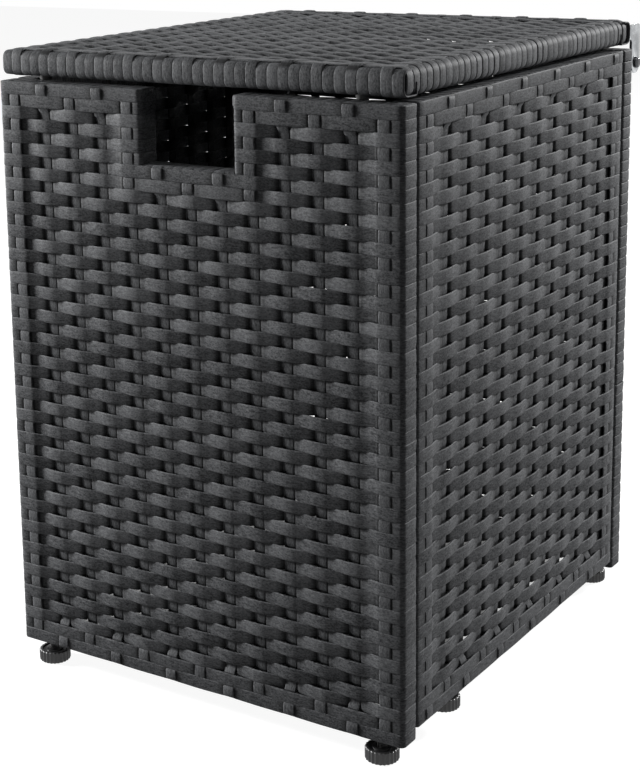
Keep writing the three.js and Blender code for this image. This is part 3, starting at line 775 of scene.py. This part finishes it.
def turned_tree():
    tree, node, given = new_tree(
        "turned_part", ["Around", "Flutes", "Flute Depth", "Thread Pitch", "Thread Depth"])
    outline = given["Geometry"]
    count = node("GeometryNodeAttributeDomainSize", outline, component="MESH").outputs["Point Count"]
    grid = node("GeometryNodeMeshGrid", 1.0, 1.0, given["Around"], count).outputs["Mesh"]
    spot = node("ShaderNodeSeparateXYZ", node("GeometryNodeInputPosition"))
    angle = node("MULTIPLY", spot.outputs[0], math.tau)
    last = node("SUBTRACT", count, 1.0)
    step = node("ADD", spot.outputs[1], 0.5)
    step = node("MULTIPLY", step, last)
    step = node("ROUND", step)
    place = node("GeometryNodeSampleIndex", outline, data_type="FLOAT_VECTOR",
                 sockets={"Value": node("GeometryNodeInputPosition"), "Index": step})
    place = node("ShaderNodeSeparateXYZ", place)
    radius, height = place.outputs[0], place.outputs[2]

    flutes = node("MULTIPLY", angle, given["Flutes"])
    turns = node("DIVIDE", height, given["Thread Pitch"])
    turns = node("MULTIPLY", turns, math.tau)
    turns = node("SUBTRACT", turns, angle)
    for mark, wave, deepest in (("fluted", flutes, "Flute Depth"), ("threaded", turns, "Thread Depth")):
        marked = node("GeometryNodeSampleIndex", outline, sockets={
            "Value": node("GeometryNodeInputNamedAttribute", mark), "Index": step})
        cut = node("MULTIPLY_ADD", node("COSINE", wave), 0.5, 0.5)
        cut = node("MULTIPLY", cut, given[deepest])
        cut = node("MULTIPLY", cut, marked)
        radius = node("SUBTRACT", radius, cut)

    sideways = node("MULTIPLY", radius, node("COSINE", angle))
    inwards = node("MULTIPLY", radius, node("SINE", angle))
    mesh = node("GeometryNodeSetPosition", grid, None,
                node("ShaderNodeCombineXYZ", sideways, inwards, height))
    mesh = node("GeometryNodeMergeByDistance", mesh, sockets={"Distance": SEAM_GAP})
    end_tree(node, mesh, given["Material"])
    return tree


TURNED = turned_tree()
print("the turning tree has", len(TURNED.nodes), "nodes")

# %% [markdown]
# The other materials are short, because the parts are small. Powder coat is
# sprayed dry and melted in an oven, which leaves a fine orange peel. Zinc plating
# is a thin bright skin with a cloudy bloom. The feet are moulded in black nylon,
# from a mould that was sparked to a fine matt grain, and the bumpers are rubber.

# %% Materials of the frames, the hinges, the feet and the bumpers
GRAINS_PER_CLOUD = 10
GRAIN_SHARE = 0.4
NOISE_EDGES = (0.35, 0.65)
ROUGHNESS_SWING = 0.08


def grained_material(name, hex_colour, roughness, grain, depth, metallic=0.0, bloom=0.25):
    """A plain stuff whose colour and roughness vary a little, with a grain of a real size."""
    material = bpy.data.materials.new(name)
    node = blank(material)
    spot = node("ShaderNodeTexCoord").outputs["Object"]
    fine = node("ShaderNodeTexNoise", spot, sockets={"Scale": 1 / grain, "Detail": 2.0})
    broad = node("ShaderNodeTexNoise", spot,
                 sockets={"Scale": 1 / (GRAINS_PER_CLOUD * grain), "Detail": 4.0})
    mixed = node("MULTIPLY", fine.outputs[0], GRAIN_SHARE)
    mixed = node("MULTIPLY_ADD", broad.outputs[0], 1 - GRAIN_SHARE, mixed)
    tone = node(FADE, mixed, *NOISE_EDGES, 1 - bloom, 1 + bloom)
    colour = node("ShaderNodeVectorMath", linear(hex_colour)[:3], operation="SCALE",
                  sockets={"Scale": tone})
    rough = node(FADE, mixed, *NOISE_EDGES, roughness - ROUGHNESS_SWING, roughness + ROUGHNESS_SWING)
    bump = node("ShaderNodeBump", sockets={"Strength": 0.4, "Distance": depth, "Height": fine.outputs[0]})
    shader = node("ShaderNodeBsdfPrincipled", sockets={
        "Base Color": colour.outputs[0], "Metallic": metallic, "Roughness": rough, "Normal": bump})
    node("ShaderNodeOutputMaterial", shader)
    return material


# Each has a name, a colour, a roughness, and the size and depth of its grain.
# Polyester powder, baked: black, satin, with orange peel about a millimetre across
POWDER_COAT = grained_material("baked_powder_coat", "#1a1b1c", 0.42, 1.2 * MM, 0.03 * MM)
# Bright zinc plating on pressed steel: pale grey with a faint cloudy bloom
ZINC = grained_material("zinc_plated_steel", "#9c9ea0", 0.2, 0.8 * MM, 0.01 * MM, metallic=1.0, bloom=0.12)
# The bolts and screws are plated too, then passivated dark
DARK_ZINC = grained_material("dark_passivated_steel", "#4a4b4d", 0.25, 0.8 * MM, 0.01 * MM, metallic=1.0)
# Dipped black coat on the brackets: thinner and glossier than powder
DIPPED_COAT = grained_material("dipped_black_coat", "#141516", 0.35, 1.0 * MM, 0.01 * MM)
# Moulded black nylon with a spark-eroded grain
NYLON = grained_material("moulded_black_nylon", "#1c1c1d", 0.38, 0.5 * MM, 0.02 * MM)
# Moulded rubber: dead black and matt
RUBBER = grained_material("moulded_rubber", "#0f0f10", 0.82, 0.6 * MM, 0.03 * MM)
for material in (POWDER_COAT, ZINC, DARK_ZINC, DIPPED_COAT, NYLON, RUBBER):
    print("made", material.name)

# %% [markdown]
# A foot is a fluted nylon knob with its threaded stud moulded in one. The flutes
# let a hand turn it while the cabinet stands on the others. Its top has a shallow
# ring round the boss, where the moulding is cored out to keep its walls even.

# %% Six levelling feet
FOOT_RADIUS = 14 * MM
FOOT_HEIGHT = 10.7 * MM
FOOT_EASE = 1.5 * MM
FOOT_RIM = 11 * MM
FOOT_BOSS = 7.8 * MM
FOOT_CORING = 1.2 * MM
FOOT_FLUTES = 24
FOOT_FLUTE_DEPTH = 0.8 * MM
STUD_RADIUS = 3.9 * MM
STUD_LENGTH = 18 * MM
STUD_PITCH = 1.25 * MM
STUD_THREAD = 0.6 * MM
SMALL_EASE = 0.3 * MM
# Points round a foot and round a smaller part
FOOT_AROUND = 97.0
SMALL_AROUND = 49.0
POINTS_PER_TURN = 8
SHARP_ANGLE = math.radians(38)
FOOT_PLACES = ["front_left", "front_right", "back_left", "back_right", "left", "right"]


def quarter(middle, radius, start, steps=4):
    """Points on a quarter circle that starts at an angle in degrees and turns left."""
    angles = [math.radians(start + 90 * i / steps) for i in range(steps + 1)]
    return [(middle[0] + radius * math.cos(a), middle[1] + radius * math.sin(a)) for a in angles]


def threaded_run(radius, low, high, pitch):
    """Points up a stud, close enough to show its thread."""
    steps = math.ceil((high - low) / pitch * POINTS_PER_TURN)
    return [(radius, low + (high - low) * i / steps) for i in range(steps + 1)]


def turned_piece(name, outline, place, material, fluted=(), threaded=(), **values):
    """Outline points are (radius, height); fluted and threaded hold the points that carry the mark."""
    marks = {"fluted": [float(p in fluted) for p in outline],
             "threaded": [float(p in threaded) for p in outline]}
    start = path_mesh(name + "_outline", [([(radius, 0, height) for radius, height in outline], marks)])
    given = {"Around": SMALL_AROUND, "Flutes": 0.0, "Flute Depth": 0.0, "Thread Pitch": MM,
             "Thread Depth": 0.0, "Material": material}
    given.update(values)
    piece = grow(name, start, TURNED, given, place)
    piece.data.set_sharp_from_angle(angle=SHARP_ANGLE)
    return piece


def foot_outline():
    """The outline of a foot, its top at z = 0 and its stud going up, with its flutes and thread."""
    wall = quarter((FOOT_RADIUS - FOOT_EASE, FOOT_EASE - FOOT_HEIGHT), FOOT_EASE, -90)
    wall += quarter((FOOT_RADIUS - FOOT_EASE, -FOOT_EASE), FOOT_EASE, 0)
    ring = [(FOOT_RIM, 0.0), (FOOT_RIM, -FOOT_CORING), (FOOT_BOSS, -FOOT_CORING)]
    ring += quarter((FOOT_BOSS - SMALL_EASE, -SMALL_EASE), SMALL_EASE, 0, 2)
    stud = threaded_run(STUD_RADIUS, 0.0, STUD_LENGTH - STUD_PITCH, STUD_PITCH)
    tip = [(STUD_RADIUS - STUD_THREAD, STUD_LENGTH), (0, STUD_LENGTH)]
    return [(0, -FOOT_HEIGHT)] + wall + ring + stud + tip, wall, stud[1:]


outline, flutes, thread = foot_outline()
for where in FOOT_PLACES:
    low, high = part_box("foot_" + where)
    middle = (low + high) / 2
    place = Matrix.Translation((middle.x, middle.y, high.z - STUD_LENGTH))
    foot = turned_piece("levelling_foot_" + where, outline, place, NYLON, flutes, thread, **{
        "Around": FOOT_AROUND, "Flutes": float(FOOT_FLUTES), "Flute Depth": FOOT_FLUTE_DEPTH,
        "Thread Pitch": STUD_PITCH, "Thread Depth": STUD_THREAD})
    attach(foot, "foot_" + where + "_body")
    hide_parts("foot_" + where)

# %% [markdown]
# The screws are bought parts. The pivot bolt has a smooth round head that shows
# behind the lid, the screws have pan heads, and the corner bolts have button
# heads. A drive is a short hole whose wall is fluted, four lobes for a cross and
# six for a key. A thin tube holds no thread, so the feet and the corner bolts go
# into threaded rivets, which are set through its wall and grip it from behind.
# Each part is laid out along Z, then turned along the axis that its plain solid
# has. The bumpers under the lid are rubber, with a stem that is pushed into a hole.

# %% Pivot bolts, screws, corner bolts, threaded rivets and bumpers
# Head radius, head height, shank radius, and depth and lobes of the drive
PIVOT_BOLT = (5.25 * MM, 3.5 * MM, 3 * MM, 0.0, 0)
PAN_SCREW = (3.8 * MM, 2.4 * MM, 2 * MM, 1.2 * MM, 4)
CORNER_BOLT = (5.5 * MM, 3.3 * MM, 3 * MM, 2 * MM, 6)
# Bore, barrel radius and thread pitch
FOOT_RIVET = (4.15 * MM, 5.4 * MM, STUD_PITCH)
CORNER_RIVET = (3.3 * MM, 4.2 * MM, 0.9 * MM)
RIVET_FLANGE = 1.1 * MM
RIVET_THREAD = 0.3 * MM
# Shares of a head's radius or height: its drive, the lobes of that, its flat and its wall
DRIVE_SHARE = 0.42
LOBE_SHARE = 0.55
FLAT_SHARE = 0.55
WALL_SHARE = 0.35
DOME_STEPS = 5
# Shares of a shank's radius or length: its tip, its thread's length, pitch and depth
TIP_SHARE = 0.7
THREADED_SHARE = 0.8
PITCH_SHARE = 0.3
THREAD_SHARE = 0.16
BUMPER_TIP = 5 * MM
BUMPER_EASE = 1 * MM
BUMPER_BASE = 6 * MM
BUMPER_HEIGHT = 4.6 * MM
BUMPER_STEM = 2 * MM
BUMPER_STEM_TOP = 9 * MM
BUMPER_END = 9.6 * MM


def headed_outline(shank, length, head, height, pitch, drive_depth):
    """A bolt from its tip at z = 0 to the top of its domed head, with its drive and thread."""
    thread = threaded_run(shank, pitch, length * THREADED_SHARE, pitch)
    flat, wall, top = head * FLAT_SHARE, height * WALL_SHARE, length + height
    dome = []
    for i in range(DOME_STEPS + 1):
        angle = math.radians(90 * i / DOME_STEPS)
        dome.append((flat + (head - flat) * math.cos(angle),
                     length + wall + (height - wall) * math.sin(angle)))
    under = [(shank, length), (head - SMALL_EASE, length), (head, length + SMALL_EASE)]
    drive = head * DRIVE_SHARE
    hole = [(drive, top), (drive, top - drive_depth)] if drive_depth else []
    floor = [(0, top - drive_depth)]
    return [(0, 0), (shank * TIP_SHARE, 0)] + thread + under + dome + hole + floor, hole, thread


def along(axis, low, high):
    """A matrix that lays a part drawn up Z along an axis, its foot where the box starts."""
    middle = (low + high) / 2
    direction = Vector(axis)
    index = max(range(3), key=lambda i: abs(direction[i]))
    foot = middle.copy()
    foot[index] = low[index] if direction[index] > 0 else high[index]
    return Matrix.Translation(foot) @ direction.to_track_quat("Z", "Y").to_matrix().to_4x4()


def fastener(node, body, axis, head, height, shank, drive_depth, lobes):
    low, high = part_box(node)
    length = max((high - low)[i] for i in range(3) if axis[i]) - height
    pitch = shank * PITCH_SHARE
    outline, drive, thread = headed_outline(shank, length, head, height, pitch, drive_depth)
    piece = turned_piece(node + "_turned", outline, along(axis, low, high), DARK_ZINC, drive, thread, **{
        "Flutes": float(lobes), "Flute Depth": head * DRIVE_SHARE * LOBE_SHARE,
        "Thread Pitch": pitch, "Thread Depth": shank * THREAD_SHARE})
    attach(piece, body)
    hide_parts(node)


def rivet(node, axis, bore, barrel, pitch):
    """A threaded rivet: a flange, a barrel and an inner thread that is cut outwards."""
    low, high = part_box(node)
    length = max((high - low)[i] for i in range(3) if axis[i])
    flange = max((high - low)[i] for i in range(3) if not axis[i]) / 2
    ease = SMALL_EASE / 2
    thread = threaded_run(bore, ease, length - ease, pitch)[::-1]
    outline = [(bore + ease, 0), (flange - ease, 0), (flange, ease), (flange, RIVET_FLANGE),
               (barrel, RIVET_FLANGE), (barrel, length - ease), (barrel - ease, length),
               (bore + ease, length)] + thread + [(bore + ease, 0)]
    piece = turned_piece(node + "_turned", outline, along(axis, low, high), ZINC, (), thread[1:-1], **{
        "Thread Pitch": pitch, "Thread Depth": -RIVET_THREAD})
    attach(piece, "cabinet")
    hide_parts(node)


def bumper(node):
    low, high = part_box(node)
    middle = (low + high) / 2
    outline = [(0, 0)] + quarter((BUMPER_TIP - BUMPER_EASE, BUMPER_EASE), BUMPER_EASE, -90)
    outline += [(BUMPER_BASE, BUMPER_HEIGHT), (BUMPER_STEM, BUMPER_HEIGHT),
                (BUMPER_STEM, BUMPER_STEM_TOP), (0, BUMPER_END)]
    place = Matrix.Translation((middle.x, middle.y, low.z))
    piece = turned_piece(node + "_moulded", outline, place, RUBBER)
    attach(piece, "lid")
    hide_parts(node)


for where in FOOT_PLACES:
    rivet("foot_rivet_" + where, (0, 0, 1), *FOOT_RIVET)
for side, outward in (("left", -1), ("right", 1)):
    fastener("hinge_pin_" + side, "cabinet", (outward, 0, 0), *PIVOT_BOLT)
    for order in ("outer", "inner"):
        fastener(f"lid_screw_{side}_{order}", "lid", (0, 1, 0), *PAN_SCREW)
        fastener(f"bracket_screw_{side}_{order}", "cabinet", (0, 1, 0), *PAN_SCREW)
    for end, inward in (("front", 1), ("back", -1)):
        for level in ("lower", "upper"):
            fastener(f"corner_bolt_{end}_{side}_{level}", "cabinet", (0, inward, 0), *CORNER_BOLT)
            rivet(f"corner_rivet_{end}_{side}_{level}", (0, -inward, 0), *CORNER_RIVET)
        bumper(f"lid_bumper_{end}_{side}")

# %% [markdown]
# Straps and brackets are pressed from sheet, so their edges are broken, not
# sharp, and their corners are bent round. The plain solids have the right holes
# and outline, so a copy of each is welded together and every edge is eased. The
# nuts get the same treatment.

# %% Pressed straps and brackets, and nuts
SHEET_EASE = 0.5 * MM
NUT_EASE = 0.4 * MM
WELD_GAP = 0.01 * MM
FLAT_ANGLE = math.radians(1)
EDGE_ANGLE = math.radians(35)


def eased(node, body, material, ease):
    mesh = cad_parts[node].data.copy()
    work = bmesh.new()
    work.from_mesh(mesh)
    bmesh.ops.remove_doubles(work, verts=work.verts, dist=WELD_GAP)
    bmesh.ops.dissolve_limit(work, angle_limit=FLAT_ANGLE, verts=work.verts, edges=work.edges)
    work.to_mesh(mesh)
    work.free()
    rough = put(node + "_rough", mesh)
    bevel = rough.modifiers.new("ease", "BEVEL")
    bevel.width = ease
    bevel.segments = 2
    bevel.limit_method = "ANGLE"
    bevel.angle_limit = EDGE_ANGLE
    result = bake(rough, node + "_eased")
    result.materials.clear()
    result.materials.append(material)
    result.shade_smooth()
    result.set_sharp_from_angle(angle=SHARP_ANGLE)
    piece = put(node + "_eased", result)
    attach(piece, body)
    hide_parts(node)


for side in ("left", "right"):
    eased("hinge_strap_" + side, "lid", ZINC, SHEET_EASE)
    eased("hinge_bracket_" + side, "cabinet", DIPPED_COAT, SHEET_EASE)
    eased("hinge_nut_" + side, "cabinet", ZINC, NUT_EASE)

# %% [markdown]
# The tube frames inside the panels and the lid stay as the plain solids, which
# are true: straight tubes, mitred and welded. They only get their powder coat.

# %% Coat the tube frames
for each in PANELS:
    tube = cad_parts[each["name"] + "_frame"]
    tube.data.materials.clear()
    tube.data.materials.append(POWDER_COAT)
    print("coated", tube.name)

# %% [markdown]
# The floor is a white sheet and the world behind it is white. Both glow only for
# rays that look at them, straight or in a gloss, so the picture is white round the
# cabinet without light from below. Over a patch as large as the cabinet, moved
# towards the rear left, the sheet doesn't glow: where the patch lies under the
# cabinet it keeps its real shade, and beyond it at the rear and on the left it is a
# painted shadow. A strong lamp stands far behind on the right: it lights the side
# and the lid and throws the shadow to the front. A low one on the left grazes the
# front, which brings out the weave, and a weak one hangs above.

# %% Floor, lamps and world
PAPER_COLOUR = "#7c7c7c"
FLOOR_HALF = 6.0
FLOOR_GLOW = 0.93
WORLD_LIGHT = 0.015
WHITE = (1, 1, 1, 1)
# The painted shadow patch, where the floor doesn't glow, is as large as the cabinet, moved towards the
# rear left, with a soft edge
SHADOW_PATCH_SHIFT = (-60 * MM, 60 * MM)
SHADOW_PATCH_FADE = 25 * MM
LAMP_AIM = Vector((0, 0, 0.25))


def seen_share(node):
    """One for a ray that looks at a surface, zero for one that gathers light."""
    ray = node("ShaderNodeLightPath").outputs
    seen = node("ADD", ray["Is Camera Ray"], ray["Is Glossy Ray"])
    return node("ADD", seen, ray["Is Transmission Ray"], use_clamp=True)


def white_floor():
    material = bpy.data.materials.new("white_paper_sweep")
    node = blank(material)
    paper = node("ShaderNodeBsdfDiffuse", linear(PAPER_COLOUR))
    spot = node("ShaderNodeSeparateXYZ", node("ShaderNodeTexCoord").outputs["Object"])
    low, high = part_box("front_weave")[0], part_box("back_weave")[1]
    outside = []
    for axis in (0, 1):
        middle, half = (low[axis] + high[axis]) / 2, (high[axis] - low[axis]) / 2
        middle += SHADOW_PATCH_SHIFT[axis]
        off = node("ABSOLUTE", node("SUBTRACT", spot.outputs[axis], middle))
        outside.append(node(FADE, off, half - SHADOW_PATCH_FADE, half))
    outside = node("MAXIMUM", *outside)
    glow = node("MULTIPLY", seen_share(node), FLOOR_GLOW)
    # No glow over the patch: real shade under the cabinet, painted shadow beyond it
    glow = node("MULTIPLY", glow, outside)
    light = node("ShaderNodeEmission", WHITE, glow)
    node("ShaderNodeOutputMaterial", node("ShaderNodeAddShader", paper, light))
    mesh = bpy.data.meshes.new("floor")
    corners = [(FLOOR_HALF * x, FLOOR_HALF * y, 0) for x, y in ((-1, -1), (1, -1), (1, 1), (-1, 1))]
    mesh.from_pydata(corners, [], [(0, 1, 2, 3)])
    mesh.materials.append(material)
    floor = put("floor", mesh)


def lamp(name, place, size, power):
    data = bpy.data.lights.new(name, "AREA")
    data.size = size
    data.energy = power
    light = put(name, data)
    light.location = place
    light.rotation_euler = (LAMP_AIM - light.location).to_track_quat("-Z", "Y").to_euler()


def plain_world():
    world = bpy.data.worlds.new("plain_studio")
    bpy.context.scene.world = world
    node = blank(world)
    strength = node(FADE, seen_share(node), 0.0, 1.0, WORLD_LIGHT, 1.0)
    node("ShaderNodeOutputWorld", node("ShaderNodeBackground", WHITE, strength))


white_floor()
plain_world()
lamp("right_rear_light", (1.5, 2.8, 1.5), size=0.4, power=172)
lamp("left_light", (-1.75, -0.66, 0.78), size=0.35, power=88)
lamp("top_light", (0.3, -0.2, 3.0), size=0.5, power=12)
bpy.context.scene.view_settings.view_transform = "Standard"
print("lamps:", ", ".join(light.name for light in bpy.data.lights))
